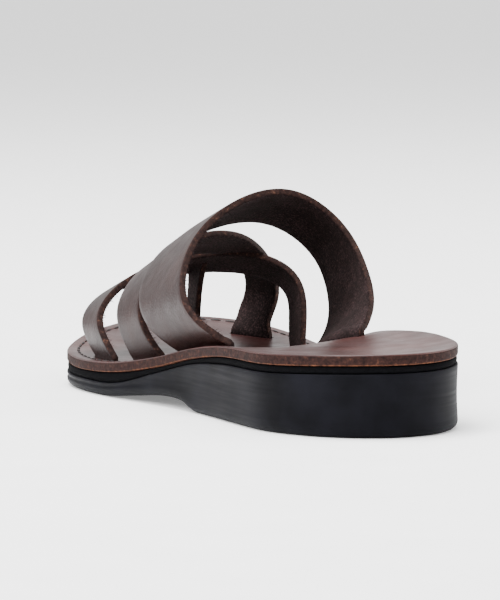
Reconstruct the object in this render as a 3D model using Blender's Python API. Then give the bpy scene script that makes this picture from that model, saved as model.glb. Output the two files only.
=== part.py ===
"""Leather slide sandal, left shoe: outsole, midsole, insole and a strapped upper.

Axes: +Y to the toe, +X to the wearer's right (the medial side), +Z up.
Origin: on the ground, below the middle of the sole's outline. Units: metres.
Until add_object moves them there, points are counted from the back of the heel.
"""
import math

import bmesh
import bpy
import numpy as np

# Driving sizes
SOLE_LENGTH = 0.270
BALL_WIDTH = 0.103
HEEL_WIDTH = 0.0725
HEEL_SEAT = 0.0275          # top of the insole at the heel
FOREFOOT_SEAT = 0.0120      # top of the insole at the ball
INSOLE_THICKNESS = 0.0037
MIDSOLE_THICKNESS = 0.0028
INSTEP_HEIGHT = 0.0790      # top of the instep band above the ground
STRAP_THICKNESS = 0.0024
TOE_SPRING = 0.0050
HEEL_BREAST_RISE = 0.0035   # height of the shank above the ground
SEAT_DISH = 0.0026          # how far the middle of the heel seat lies below its rim
FOREFOOT_DISH = 0.0012
MEDIAL_RISE = 0.0012        # how far the medial rim is raised, and the lateral one lowered
SLOT_CLEARANCE = 0.0004
LAYER_GAP = 0.0003
LEG_CLEARANCE = 0.0008      # between a strap's lower end and the midsole
JOIN_SINK = 0.0005          # how far one crossing strap is sunk into the next
EDGE_ROUND = 0.0028         # round of the outsole's bottom edge
TOE_STRAP_WIDTH = 0.0125
TOE_STRAP_ACROSS = 0.0045   # from the sole's middle line to the toe strap's base
TOE_STRAP_THICKNESS = 0.0022

# Rows of the sole from heel to toe. along: share of SOLE_LENGTH. medial, lateral: shares of the
# local width, which is HEEL_WIDTH at the heel and BALL_WIDTH at the ball.
SOLE_SECTIONS = (
    # along, medial, lateral
    (0.012, 0.170, 0.170),
    (0.035, 0.290, 0.290),
    (0.075, 0.400, 0.400),
    (0.130, 0.475, 0.480),
    (0.220, 0.500, 0.505),
    (0.310, 0.460, 0.515),
    (0.400, 0.392, 0.500),
    (0.500, 0.340, 0.475),
    (0.600, 0.385, 0.485),
    (0.700, 0.447, 0.508),
    (0.790, 0.465, 0.478),
    (0.860, 0.450, 0.398),
    (0.920, 0.405, 0.290),
    (0.965, 0.320, 0.155),
    (0.990, 0.215, 0.045),
)
GROWTH_STARTS = 0.32        # along: the local width starts to grow here
GROWTH_ENDS = 0.62          # along: and has reached BALL_WIDTH here
TOE_TIP_ACROSS = 0.085      # toe tip, share of BALL_WIDTH to the medial side

# Heights along the sole. seat: share of the way from FOREFOOT_SEAT (0) up to HEEL_SEAT (1).
# spring: share of TOE_SPRING added to the seat. dish: 1 is SEAT_DISH, 0 is FOREFOOT_DISH.
# midsole: share of MIDSOLE_THICKNESS. cant: share of MEDIAL_RISE.
SOLE_HEIGHTS = (
    # along, seat, spring, dish, midsole, cant
    (0.00, 1.02, 0.0, 0.6, 0.75, 0.3),
    (0.12, 1.00, 0.0, 1.0, 0.75, 0.9),
    (0.28, 0.97, 0.0, 1.0, 0.70, 1.4),
    (0.38, 0.79, 0.0, 1.0, 0.45, 1.7),
    (0.48, 0.42, 0.0, 0.7, 0.55, 1.2),
    (0.58, 0.11, 0.0, 0.2, 1.15, 0.4),
    (0.68, 0.00, 0.0, 0.0, 0.95, 0.0),
    (0.80, 0.03, 0.1, 0.0, 1.15, 0.0),
    (0.91, 0.09, 0.5, 0.0, 0.95, 0.0),
    (1.00, 0.16, 1.0, 0.0, 0.90, 0.0),
)

# Underside of the outsole. shank: share of HEEL_BREAST_RISE. spring: share of TOE_SPRING.
UNDERSIDE = (
    # along, shank, spring
    (0.370, 0.00, 0.00),
    (0.385, 0.22, 0.00),
    (0.405, 0.70, 0.00),
    (0.430, 0.96, 0.00),
    (0.470, 1.00, 0.00),
    (0.540, 0.55, 0.00),
    (0.620, 0.00, 0.00),
    (0.800, 0.00, 0.00),
    (0.870, 0.00, 0.14),
    (0.940, 0.00, 0.52),
    (1.000, 0.00, 1.08),
)

# The last over which the straps are drawn, seen along the foot. turn: 0 at the lateral slots,
# 1 at the medial slots. across: share of the last's lateral (-) or medial (+) half width.
# up: share of its height above the slots.
LAST_PROFILE = (
    # turn, across, up
    (0.10, -1.02, 0.15),
    (0.20, -1.025, 0.315),
    (0.31, -0.82, 0.540),
    (0.41, -0.50, 0.775),
    (0.52, 0.17, 1.00),
    (0.64, 0.72, 0.88),
    (0.75, 0.98, 0.65),
    (0.85, 1.00, 0.38),
    (0.93, 0.94, 0.16),
)
# The last along the foot. lateral, medial: half widths as shares of BALL_WIDTH.
# crown: share of INSTEP_HEIGHT.
LAST_SECTIONS = (
    # along, lateral, medial, crown
    (0.30, 0.355, 0.332, 1.105),
    (0.42, 0.377, 0.347, 1.075),
    (0.53, 0.400, 0.357, 0.980),
    (0.60, 0.420, 0.356, 0.905),
    (0.64, 0.430, 0.354, 0.842),
    (0.68, 0.435, 0.352, 0.778),
    (0.73, 0.437, 0.355, 0.706),
    (0.78, 0.437, 0.366, 0.640),
    (0.83, 0.428, 0.362, 0.567),
    (0.87, 0.410, 0.332, 0.513),
    (0.91, 0.370, 0.300, 0.466),
    (0.95, 0.310, 0.265, 0.430),
)

# Where the two edges of each strap run over the last. turn as above; rear, front: shares of
# SOLE_LENGTH; lift: share of STRAP_THICKNESS by which the strap lies over the others.
INSTEP_BAND = (
    # turn, rear, front, lift
    (0.00, 0.325, 0.463, 0.0),
    (0.20, 0.392, 0.535, 0.3),
    (0.31, 0.443, 0.584, 0.4),
    (0.41, 0.490, 0.627, 0.4),
    (0.52, 0.526, 0.648, 0.2),
    (0.75, 0.515, 0.645, 0.0),
    (0.90, 0.430, 0.595, 0.0),
    (1.00, 0.345, 0.550, 0.0),
)
REAR_STRAP = (
    # turn, rear, front, lift
    (0.00, 0.511, 0.582, 0.0),
    (0.10, 0.522, 0.593, 0.0),
    (0.20, 0.541, 0.614, 0.0),
    (0.31, 0.573, 0.650, 0.0),
    (0.41, 0.626, 0.702, 0.0),
    (0.52, 0.692, 0.765, 0.2),
    (0.60, 0.747, 0.823, 0.8),
    (0.68, 0.805, 0.880, 1.0),
    (0.76, 0.838, 0.915, 0.8),
    (0.86, 0.850, 0.925, 0.3),
    (0.93, 0.850, 0.915, 0.0),
    (1.00, 0.847, 0.897, 0.0),
)
FRONT_STRAP = (
    # turn, rear, front, lift
    (0.00, 0.641, 0.714, 0.0),
    (0.20, 0.685, 0.755, 0.0),
    (0.41, 0.758, 0.826, 0.0),
    (0.52, 0.778, 0.850, 0.0),
    (0.66, 0.758, 0.828, 0.0),
    (0.78, 0.733, 0.800, 0.0),
    (0.90, 0.705, 0.772, 0.0),
    (1.00, 0.688, 0.752, 0.0),
)
STRAPS = {"band": INSTEP_BAND, "rear": REAR_STRAP, "front": FRONT_STRAP}
# Where the slots lie: distance inwards from the insole's edge, shares of BALL_WIDTH.
SLOT_INSETS = {
    # strap: (lateral rear, lateral front, medial rear, medial front)
    "band": (0.098, 0.098, 0.098, 0.098),
    "rear": (0.082, 0.082, 0.114, 0.194),
    "front": (0.082, 0.082, 0.125, 0.125),
}
# The toe strap from its slot to the front strap. up: share of the height between the two.
# across: share of BALL_WIDTH. twist: 0 stands along the foot, 1 is turned across it.
TOE_STRAP = (
    # up, across, along, twist
    (0.00, -0.020, 0.834, 0.00),
    (0.14, -0.012, 0.839, 0.00),
    (0.34, -0.003, 0.845, 0.00),
    (0.62, -0.002, 0.838, 0.00),
    (0.82, -0.004, 0.828, 0.05),
    (1.00, -0.006, 0.817, 0.15),
)

END_BLEND = 0.12            # share of SOLE_LENGTH over which the dish fades out at heel and toe
SOLE_ROWS = 54              # rows from heel to toe
SOLE_COLUMNS = 5            # cells across the sole
STRAP_ROWS = 44             # rows from slot to slot
STRAP_COLUMNS = 3           # cells across a strap
STRAP_RELAX = 10            # passes that even out a strap along its length
LEG_BEND = 0.0010           # straps leave their slots upright for this height
TOE_STRAP_ROWS = 12         # rows from the insole to the front strap
TOE_STRAP_TURN = 0.54       # turn of the front strap above the toe strap

LEATHER = (0.050, 0.021, 0.014)
INSOLE_LEATHER = (0.085, 0.035, 0.026)
BLACK_RUBBER = (0.012, 0.012, 0.014)
BLACK_LAYER = (0.008, 0.007, 0.008)


def column(table, index):
    return [row[index] for row in table]


def smooth_table(places, values, at):
    """Smooth curve through a table's column, flat beyond its ends (cubic Hermite)."""
    x = np.asarray(places, float)
    y = np.asarray(values, float)
    slope = np.gradient(y, x)
    at = np.clip(np.asarray(at, float), x[0], x[-1])
    cell = np.clip(np.searchsorted(x, at, side="right") - 1, 0, len(x) - 2)
    width = x[cell + 1] - x[cell]
    t = (at - x[cell]) / width
    return ((2 * t**3 - 3 * t**2 + 1) * y[cell] + (t**3 - 2 * t**2 + t) * width * slope[cell]
            + (3 * t**2 - 2 * t**3) * y[cell + 1] + (t**3 - t**2) * width * slope[cell + 1])


def smooth_step(start, end, at):
    t = np.clip((np.asarray(at, float) - start) / (end - start), 0.0, 1.0)
    return t * t * (3 - 2 * t)


def closed_curve(points, samples):
    """Closed centripetal Catmull-Rom curve through points, with samples per span."""
    count = len(points)
    curve = []
    for i in range(count):
        p = [np.asarray(points[(i + k - 1) % count], float) for k in range(4)]
        knot = [0.0]
        for a, b in zip(p, p[1:]):
            knot.append(knot[-1] + math.sqrt(np.linalg.norm(b - a)))
        for t in np.linspace(knot[1], knot[2], samples, endpoint=False):
            a = [((knot[k + 1] - t) * p[k] + (t - knot[k]) * p[k + 1]) / (knot[k + 1] - knot[k])
                 for k in range(3)]
            b = [((knot[k + 2] - t) * a[k] + (t - knot[k]) * a[k + 1]) / (knot[k + 2] - knot[k])
                 for k in range(2)]
            curve.append(((knot[2] - t) * b[0] + (t - knot[1]) * b[1]) / (knot[2] - knot[1]))
    return np.array(curve)


def local_width(along):
    grown = smooth_step(GROWTH_STARTS, GROWTH_ENDS, along)
    return HEEL_WIDTH + (BALL_WIDTH - HEEL_WIDTH) * grown


def sole_edges():
    """The sole's outline: distance along the foot, and the lateral and medial edge there."""
    lateral = [(-share * local_width(along), along * SOLE_LENGTH)
               for along, _, share in SOLE_SECTIONS]
    medial = [(share * local_width(along), along * SOLE_LENGTH)
              for along, share, _ in SOLE_SECTIONS]
    toe = (TOE_TIP_ACROSS * BALL_WIDTH, SOLE_LENGTH)
    loop = closed_curve([(0.0, 0.0)] + lateral + [toe] + medial[::-1], 12)
    heel = int(loop[:, 1].argmin())
    loop = np.roll(loop, -heel, axis=0)
    tip = int(loop[:, 1].argmax())
    return loop[:tip + 1], np.vstack([loop[tip:], loop[:1]])[::-1]


LATERAL_EDGE, MEDIAL_EDGE = sole_edges()
HEEL_BACK = float(LATERAL_EDGE[0, 1])
TOE_FRONT = float(LATERAL_EDGE[-1, 1])
ORIGIN = ((float(LATERAL_EDGE[:, 0].min()) + float(MEDIAL_EDGE[:, 0].max())) / 2,
          (HEEL_BACK + TOE_FRONT) / 2, 0.0)


def edge_across(edge, y):
    return np.interp(y, edge[:, 1], edge[:, 0])


def seat_height(y, across):
    """Top of the insole. across: -1 at the lateral edge, 1 at the medial edge."""
    along = np.asarray(y) / SOLE_LENGTH
    seat, spring, dish, cant = (
        smooth_table(column(SOLE_HEIGHTS, 0), column(SOLE_HEIGHTS, k), along) for k in (1, 2, 3, 5))
    rim = FOREFOOT_SEAT + (HEEL_SEAT - FOREFOOT_SEAT) * seat + TOE_SPRING * spring
    depth = FOREFOOT_DISH + (SEAT_DISH - FOREFOOT_DISH) * dish
    ends = np.clip(np.minimum(y - HEEL_BACK, TOE_FRONT - y) / (END_BLEND * SOLE_LENGTH), 0.0, 1.0)
    across = np.asarray(across)
    return rim + (MEDIAL_RISE * cant * across - depth * (1 - across**2)) * ends * (2 - ends)


def across_share(x, y):
    """Where x lies between the lateral (-1) and the medial edge (1)."""
    low, high = edge_across(LATERAL_EDGE, y), edge_across(MEDIAL_EDGE, y)
    return np.clip(2 * (x - low) / (high - low) - 1, -1, 1)


def seat_at(x, y):
    return seat_height(y, across_share(x, y))


def midsole_thickness(y):
    share = smooth_table(column(SOLE_HEIGHTS, 0), column(SOLE_HEIGHTS, 4), np.asarray(y) / SOLE_LENGTH)
    return MIDSOLE_THICKNESS * share


def underside(y, across):
    """Ground side of the outsole: heel and ball flat on the ground, shank and toe raised."""
    along = np.asarray(y) / SOLE_LENGTH
    shank = smooth_table(column(UNDERSIDE, 0), column(UNDERSIDE, 1), along)
    spring = smooth_table(column(UNDERSIDE, 0), column(UNDERSIDE, 2), along)
    return HEEL_BREAST_RISE * np.maximum(shank, 0.0) + TOE_SPRING * np.maximum(spring, 0.0)


def insole_bottom(y, across):
    return seat_height(y, across) - INSOLE_THICKNESS


def midsole_top(y, across):
    return insole_bottom(y, across) - LAYER_GAP


def midsole_bottom(y, across):
    return midsole_top(y, across) - midsole_thickness(y)


def outsole_top(y, across):
    return midsole_bottom(y, across) - LAYER_GAP


def material(name, colour, roughness):
    made = bpy.data.materials.new(name)
    made.use_nodes = True
    shader = made.node_tree.nodes["Principled BSDF"]
    shader.inputs["Base Color"].default_value = (*colour, 1.0)
    shader.inputs["Roughness"].default_value = roughness
    shader.inputs["Metallic"].default_value = 0.0
    made.diffuse_color = (*colour, 1.0)
    return made


def add_object(name, vertices, faces, finish):
    """Mesh object round ORIGIN, doubles merged, faces pointing out, shaded smooth."""
    mesh = bpy.data.meshes.new(name)
    work = bmesh.new()
    points = [work.verts.new(np.subtract(p, ORIGIN)) for p in vertices]
    for face in faces:
        corners = [points[i] for i in dict.fromkeys(face)]
        if len(corners) > 2:
            work.faces.new(corners)
    bmesh.ops.remove_doubles(work, verts=work.verts, dist=1e-6)
    bmesh.ops.dissolve_degenerate(work, edges=work.edges, dist=1e-7)
    bmesh.ops.triangulate(work, faces=[f for f in work.faces if len(f.verts) > 3])
    bmesh.ops.recalc_face_normals(work, faces=work.faces)
    work.to_mesh(mesh)
    work.free()
    if finish is not None:
        mesh.materials.append(finish)
    made = bpy.data.objects.new(name, mesh)
    bpy.context.scene.collection.objects.link(made)
    mesh.shade_smooth()
    mesh.set_sharp_from_angle(angle=math.radians(40))
    return made


def sole_outline_rows():
    """Matching points of the lateral and medial edge, closer together at heel and toe."""
    turn = np.linspace(0.0, math.pi, SOLE_ROWS + 1)
    y = HEEL_BACK + (TOE_FRONT - HEEL_BACK) * (1 - np.cos(turn)) / 2
    lateral = np.column_stack([edge_across(LATERAL_EDGE, y), y])
    medial = np.column_stack([edge_across(MEDIAL_EDGE, y), y])
    return lateral, medial


def inset_loop(loop, amount):
    """Closed loop moved inwards; it runs from the heel along the lateral side to the toe."""
    ahead = np.roll(loop, -1, axis=0) - loop
    behind = loop - np.roll(loop, 1, axis=0)
    ahead /= np.linalg.norm(ahead, axis=1)[:, None]
    behind /= np.linalg.norm(behind, axis=1)[:, None]
    tangent = ahead + behind
    tangent /= np.linalg.norm(tangent, axis=1)[:, None]
    return loop + amount * np.column_stack([tangent[:, 1], -tangent[:, 0]])


def sole_layer(name, top, bottom, wall, finish):
    """One layer of the sole. wall rows: share of the way down, added height, inset."""
    lateral, medial = sole_outline_rows()
    loop = np.vstack([lateral, medial[-2:0:-1]])
    count = len(loop)
    edge = np.where(np.arange(count) <= SOLE_ROWS, -1.0, 1.0)
    high, low = top(loop[:, 1], edge), bottom(loop[:, 1], edge)
    vertices, faces = [], []
    for share, added, inset in wall:
        ring = inset_loop(loop, inset)
        height = high + (low - high) * share + added
        vertices += [(x, y, z) for (x, y), z in zip(ring, height)]
    for level in range(len(wall) - 1):
        for i in range(count):
            a, b = level * count + i, level * count + (i + 1) % count
            faces.append((a, b, b + count, a + count))
    for level, height in ((0, top), (len(wall) - 1, bottom)):
        ring = np.array(vertices[level * count:(level + 1) * count])
        grid = []
        for row in range(SOLE_ROWS + 1):
            left = level * count + row
            right = level * count + (count - row) % count
            line = [left]
            for k in range(1, SOLE_COLUMNS):
                if row in (0, SOLE_ROWS):
                    line.append(left)
                    continue
                share = k / SOLE_COLUMNS
                x, y = (ring[left - level * count] * (1 - share)
                        + ring[right - level * count] * share)[:2]
                line.append(len(vertices))
                vertices.append((x, y, float(height(y, 2 * share - 1))))
            line.append(right if row not in (0, SOLE_ROWS) else left)
            grid.append(line)
        for row in range(SOLE_ROWS):
            for k in range(SOLE_COLUMNS):
                faces.append((grid[row][k], grid[row][k + 1], grid[row + 1][k + 1], grid[row + 1][k]))
    return add_object(name, vertices, faces, finish)


def slot_across(side, y, inset):
    """Middle line of a slot on one side: -1 lateral, 1 medial."""
    edge = LATERAL_EDGE if side < 0 else MEDIAL_EDGE
    return float(edge_across(edge, y)) - side * inset * BALL_WIDTH


def last_point(turn, y, lateral_inset, medial_inset):
    """Point of the last at one turn round the foot and distance y from the heel's back."""
    along = y / SOLE_LENGTH
    lateral, medial, crown = (float(smooth_table(column(LAST_SECTIONS, 0), column(LAST_SECTIONS, k), along))
                              for k in (1, 2, 3))
    start, end = slot_across(-1, y, lateral_inset), slot_across(1, y, medial_inset)
    start_up, end_up = float(seat_at(start, y)) + LEG_BEND, float(seat_at(end, y)) + LEG_BEND
    places, across, up = [0.0], [start], [start_up]
    for place, share, height in LAST_PROFILE:
        base = start_up + (end_up - start_up) * place
        half = (lateral if share < 0 else medial) * BALL_WIDTH
        places.append(place)
        across.append(share * half)
        up.append(base + height * (crown * INSTEP_HEIGHT - STRAP_THICKNESS - base))
    places.append(1.0)
    across.append(end)
    up.append(end_up)
    return float(smooth_table(places, across, turn)), float(smooth_table(places, up, turn))


def strap_rows(table, insets):
    """Middle surface of a strap, row by row from its lateral to its medial slot."""
    turns = np.linspace(0.0, 1.0, STRAP_ROWS + 1)
    rear, front, lift = (smooth_table(column(table, 0), column(table, k), turns) for k in (1, 2, 3))
    shares = np.linspace(0.0, 1.0, STRAP_COLUMNS + 1)
    rows = []
    for i, turn in enumerate(turns):
        row = []
        for share in shares:
            y = SOLE_LENGTH * (rear[i] + (front[i] - rear[i]) * share)
            x, z = last_point(turn, y, insets[0] + (insets[1] - insets[0]) * share,
                              insets[2] + (insets[3] - insets[2]) * share)
            row.append((x, y, z))
        rows.append(row)
    return relaxed(np.array(rows), STRAP_RELAX), lift


def relaxed(rows, times):
    """Rows evened out along the strap; the two ends stay where they are."""
    for _ in range(times):
        rows[1:-1] = (rows[:-2] + 2 * rows[1:-1] + rows[2:]) / 4
    return rows


def leg_bottom(x, y):
    return float(midsole_top(y, across_share(x, y))) + LEG_CLEARANCE


def leg_rows(row):
    """Rows straight down to just above the midsole, below the end row of a strap."""
    foot = np.array([(x, y, leg_bottom(x, y)) for x, y, _ in row])
    upright = row.copy()
    upright[:, 2] -= LEG_BEND
    return foot, upright


def surface_normals(rows):
    along = np.gradient(rows, axis=0)
    across = np.gradient(rows, axis=1)
    normal = np.cross(along, across)
    normal /= np.linalg.norm(normal, axis=2)[:, :, None]
    return normal


def thick_sheet(rows, normals, inner, outer):
    """Closed solid between two offsets of a sheet of rows."""
    count, width = rows.shape[:2]
    vertices = [tuple(p) for p in (rows + normals * inner[:, None, None]).reshape(-1, 3)]
    vertices += [tuple(p) for p in (rows + normals * outer[:, None, None]).reshape(-1, 3)]
    size = count * width
    faces = []
    for i in range(count - 1):
        for k in range(width - 1):
            a = i * width + k
            faces.append((a, a + 1, a + width + 1, a + width))
            faces.append((size + a, size + a + width, size + a + width + 1, size + a + 1))
    rim = ([k for k in range(width)] + [i * width + width - 1 for i in range(1, count)]
           + [(count - 1) * width + k for k in range(width - 2, -1, -1)]
           + [i * width for i in range(count - 2, 0, -1)])
    for a, b in zip(rim, rim[1:] + rim[:1]):
        faces.append((a, a + size, b + size, b))
    return vertices, faces


def strap_sheet(table, insets):
    """Rows and normals of a whole strap with its two legs."""
    rows, lift = strap_rows(table, insets)
    normals = surface_normals(rows)
    step = STRAP_THICKNESS - JOIN_SINK
    raised = rows + normals * (lift * step)[:, None, None]
    raised[0, :, 2] = rows[0, :, 2]
    raised[-1, :, 2] = rows[-1, :, 2]
    legs, level = {}, {}
    for end in (0, -1):
        flat = normals[end].copy()
        flat[:, 2] = 0.0
        flat /= np.linalg.norm(flat, axis=1)[:, None]
        raised[end] = rows[end] + flat * lift[end] * step
        normals[end] = flat
        foot, upright = leg_rows(raised[end])
        legs[end] = [foot, upright]
        level[end] = [flat, flat]
    sheet = np.array(legs[0] + list(raised) + legs[-1][::-1])
    return sheet, np.array(level[0] + list(normals) + level[-1])


def strap_solid(name, strap, finish):
    rows, normals = strap_sheet(STRAPS[strap], SLOT_INSETS[strap])
    half = np.full(len(rows), STRAP_THICKNESS / 2)
    vertices, faces = thick_sheet(rows, normals, -half, half)
    return add_object(name, vertices, faces, finish)


def slot_cutters(strap):
    """One cutter for each end of a strap: its leg, grown by the slot's clearance."""
    rows, normals = strap_sheet(STRAPS[strap], SLOT_INSETS[strap])
    cutters = []
    for label, pair in (("lateral", (1, 0)), ("medial", (-2, -1))):
        line, flat = rows[pair[0]].copy(), normals[pair[0]].copy()
        ahead = line[-1] - line[0]
        ahead[2] = 0.0
        ahead *= SLOT_CLEARANCE / np.linalg.norm(ahead)
        line[0] -= ahead
        line[-1] += ahead
        low, high = line.copy(), line.copy()
        low[:, 2] -= 2 * INSOLE_THICKNESS
        high[:, 2] += 2 * INSOLE_THICKNESS
        grow = np.full(2, STRAP_THICKNESS / 2 + SLOT_CLEARANCE)
        vertices, faces = thick_sheet(np.array([low, high]), np.array([flat, flat]), -grow, grow)
        cutters.append(add_object("cut_%s_%s" % (strap, label), vertices, faces, None))
    return cutters


def toe_strap_sheet():
    """Rows of the flat strap between the toes, from its slot up into the front strap.

    Each column ends at the height of the front strap above it, which slopes down to the toe.
    """
    base_y = TOE_STRAP[0][2] * SOLE_LENGTH
    base = float(seat_at(TOE_STRAP_ACROSS, base_y))
    top_y = TOE_STRAP[-1][2] * SOLE_LENGTH
    shares = np.linspace(-0.5, 0.5, STRAP_COLUMNS + 1)
    ahead = TOE_STRAP_WIDTH * math.cos(TOE_STRAP[-1][3] * math.pi / 2)
    tops = [last_point(TOE_STRAP_TURN, top_y + ahead * s, 0.0, 0.0)[1] for s in shares]
    rows, normals = [], []
    for up in np.linspace(0.0, 1.0, TOE_STRAP_ROWS + 1):
        across, along, twist = (float(smooth_table(column(TOE_STRAP, 0), column(TOE_STRAP, k), up))
                                for k in (1, 2, 3))
        angle = twist * math.pi / 2
        direction = np.array([-math.sin(angle), math.cos(angle), 0.0])
        x, y = TOE_STRAP_ACROSS + across * BALL_WIDTH, along * SOLE_LENGTH
        rows.append([np.array([x, y, base + (top - base) * up]) + direction * TOE_STRAP_WIDTH * s
                     for s, top in zip(shares, tops)])
        normals.append([(math.cos(angle), math.sin(angle), 0.0)] * (STRAP_COLUMNS + 1))
    rows, normals = np.array(rows), np.array(normals)
    foot = rows[0].copy()
    foot[:, 2] = [leg_bottom(x, y) for x, y, _ in foot]
    return np.vstack([foot[None], rows]), np.vstack([normals[:1], normals])


def toe_strap_solid(finish):
    rows, normals = toe_strap_sheet()
    half = np.full(len(rows), TOE_STRAP_THICKNESS / 2)
    vertices, faces = thick_sheet(rows, normals, -half, half)
    return add_object("toe_strap", vertices, faces, finish)


def toe_slot_cutter():
    rows, normals = toe_strap_sheet()
    line = rows[1].copy()
    line[0, 1] -= SLOT_CLEARANCE
    line[-1, 1] += SLOT_CLEARANCE
    low, high = line.copy(), line.copy()
    low[:, 2] -= 2 * INSOLE_THICKNESS
    high[:, 2] += 2 * INSOLE_THICKNESS
    grow = np.full(2, TOE_STRAP_THICKNESS / 2 + SLOT_CLEARANCE)
    vertices, faces = thick_sheet(np.array([low, high]), np.array([normals[1], normals[1]]),
                                  -grow, grow)
    return add_object("cut_toe_slot", vertices, faces, None)


def boolean(target, tool, operation):
    tool.hide_render = True
    tool.display_type = 'WIRE'
    modifier = target.modifiers.new(tool.name, 'BOOLEAN')
    modifier.operation = operation
    modifier.solver = 'EXACT'
    modifier.object = tool


def build_sole():
    rubber = material("black rubber", BLACK_RUBBER, 0.45)
    layer = material("black foam board", BLACK_LAYER, 0.80)
    leather = material("brown insole leather", INSOLE_LEATHER, 0.50)
    sole_layer("outsole", outsole_top, underside, (
        (0.0, 0.0, 0.0006),
        (0.0, -0.0006, 0.0),
        (1.0, EDGE_ROUND, 0.0),
        (1.0, EDGE_ROUND * 0.30, EDGE_ROUND * 0.30),
        (1.0, 0.0, EDGE_ROUND),
    ), rubber)
    sole_layer("midsole", midsole_top, midsole_bottom, (
        (0.0, 0.0, 0.0006),
        (1.0, 0.0, 0.0006),
    ), layer)
    insole = sole_layer("insole", seat_height, insole_bottom, (
        (0.0, 0.0, 0.0005),
        (0.0, -0.0005, 0.0),
        (1.0, 0.0, 0.0),
    ), leather)
    for strap in STRAPS:
        for cutter in slot_cutters(strap):
            boolean(insole, cutter, 'DIFFERENCE')
    boolean(insole, toe_slot_cutter(), 'DIFFERENCE')


def build_upper():
    leather = material("brown strap leather", LEATHER, 0.42)
    upper = strap_solid("upper", "band", leather)
    boolean(upper, strap_solid("rear_strap", "rear", leather), 'UNION')
    boolean(upper, strap_solid("front_strap", "front", leather), 'UNION')
    boolean(upper, toe_strap_solid(leather), 'UNION')


for old in list(bpy.data.objects):
    bpy.data.objects.remove(old, do_unlink=True)
build_sole()
build_upper()
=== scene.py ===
# Leather slide sandal, left shoe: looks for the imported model.
# Metres, +Y to the toe, +X to the medial side, +Z up.
import math

import bmesh
import bpy
import numpy as np
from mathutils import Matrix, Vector, noise


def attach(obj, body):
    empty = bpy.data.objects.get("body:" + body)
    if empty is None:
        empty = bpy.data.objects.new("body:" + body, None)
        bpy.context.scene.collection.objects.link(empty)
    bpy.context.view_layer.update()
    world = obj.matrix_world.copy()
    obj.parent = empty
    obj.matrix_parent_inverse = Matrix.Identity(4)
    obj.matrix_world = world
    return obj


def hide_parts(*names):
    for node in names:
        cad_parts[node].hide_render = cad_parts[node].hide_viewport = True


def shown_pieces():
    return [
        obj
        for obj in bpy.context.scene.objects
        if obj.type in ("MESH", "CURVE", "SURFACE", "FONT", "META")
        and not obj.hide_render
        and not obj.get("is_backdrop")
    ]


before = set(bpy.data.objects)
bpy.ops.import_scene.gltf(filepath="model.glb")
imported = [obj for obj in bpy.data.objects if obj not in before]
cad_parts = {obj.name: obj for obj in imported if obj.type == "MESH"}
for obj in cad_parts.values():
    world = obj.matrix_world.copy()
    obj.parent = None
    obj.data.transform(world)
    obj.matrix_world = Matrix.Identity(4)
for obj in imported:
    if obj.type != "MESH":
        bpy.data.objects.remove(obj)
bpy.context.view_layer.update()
print("frame loaded:", sorted(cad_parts))

# Shape of the sole. The same sizes and tables as the solids, drawn with finer rows.
sole = {
    "length": 0.270, "ballWidth": 0.103, "heelWidth": 0.0725,
    "heelSeat": 0.0275, "forefootSeat": 0.0120,
    "insoleThickness": 0.0037, "midsoleThickness": 0.0028,
    "toeSpring": 0.0050, "shankRise": 0.0035,
    "seatDish": 0.0026, "forefootDish": 0.0012, "medialRise": 0.0012,
    "layerGap": 0.0003, "endBlend": 0.12,
    "growthStarts": 0.32, "growthEnds": 0.62, "toeTipAcross": 0.085, "curveSamples": 24,
    # along, medial share, lateral share of the local width
    "sections": [
        (0.012, 0.170, 0.170), (0.035, 0.290, 0.290), (0.075, 0.400, 0.400), (0.130, 0.475, 0.480),
        (0.220, 0.500, 0.505), (0.310, 0.460, 0.515), (0.400, 0.392, 0.500), (0.500, 0.340, 0.475),
        (0.600, 0.385, 0.485), (0.700, 0.447, 0.508), (0.790, 0.465, 0.478), (0.860, 0.450, 0.398),
        (0.920, 0.405, 0.290), (0.965, 0.320, 0.155), (0.990, 0.215, 0.045),
    ],
    # along, seat, spring, dish, midsole, cant
    "heights": [
        (0.00, 1.02, 0.0, 0.6, 0.75, 0.3), (0.12, 1.00, 0.0, 1.0, 0.75, 0.9),
        (0.28, 0.97, 0.0, 1.0, 0.70, 1.4), (0.38, 0.79, 0.0, 1.0, 0.45, 1.7),
        (0.48, 0.42, 0.0, 0.7, 0.55, 1.2), (0.58, 0.11, 0.0, 0.2, 1.15, 0.4),
        (0.68, 0.00, 0.0, 0.0, 0.95, 0.0), (0.80, 0.03, 0.1, 0.0, 1.15, 0.0),
        (0.91, 0.09, 0.5, 0.0, 0.95, 0.0), (1.00, 0.16, 1.0, 0.0, 0.90, 0.0),
    ],
    # along, shank, spring
    "underside": [
        (0.370, 0.00, 0.00), (0.385, 0.22, 0.00), (0.405, 0.70, 0.00), (0.430, 0.96, 0.00),
        (0.470, 1.00, 0.00), (0.540, 0.55, 0.00), (0.620, 0.00, 0.00), (0.800, 0.00, 0.00),
        (0.870, 0.00, 0.14), (0.940, 0.00, 0.52), (1.000, 0.00, 1.08),
    ],
    "rows": 150,
}

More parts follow.
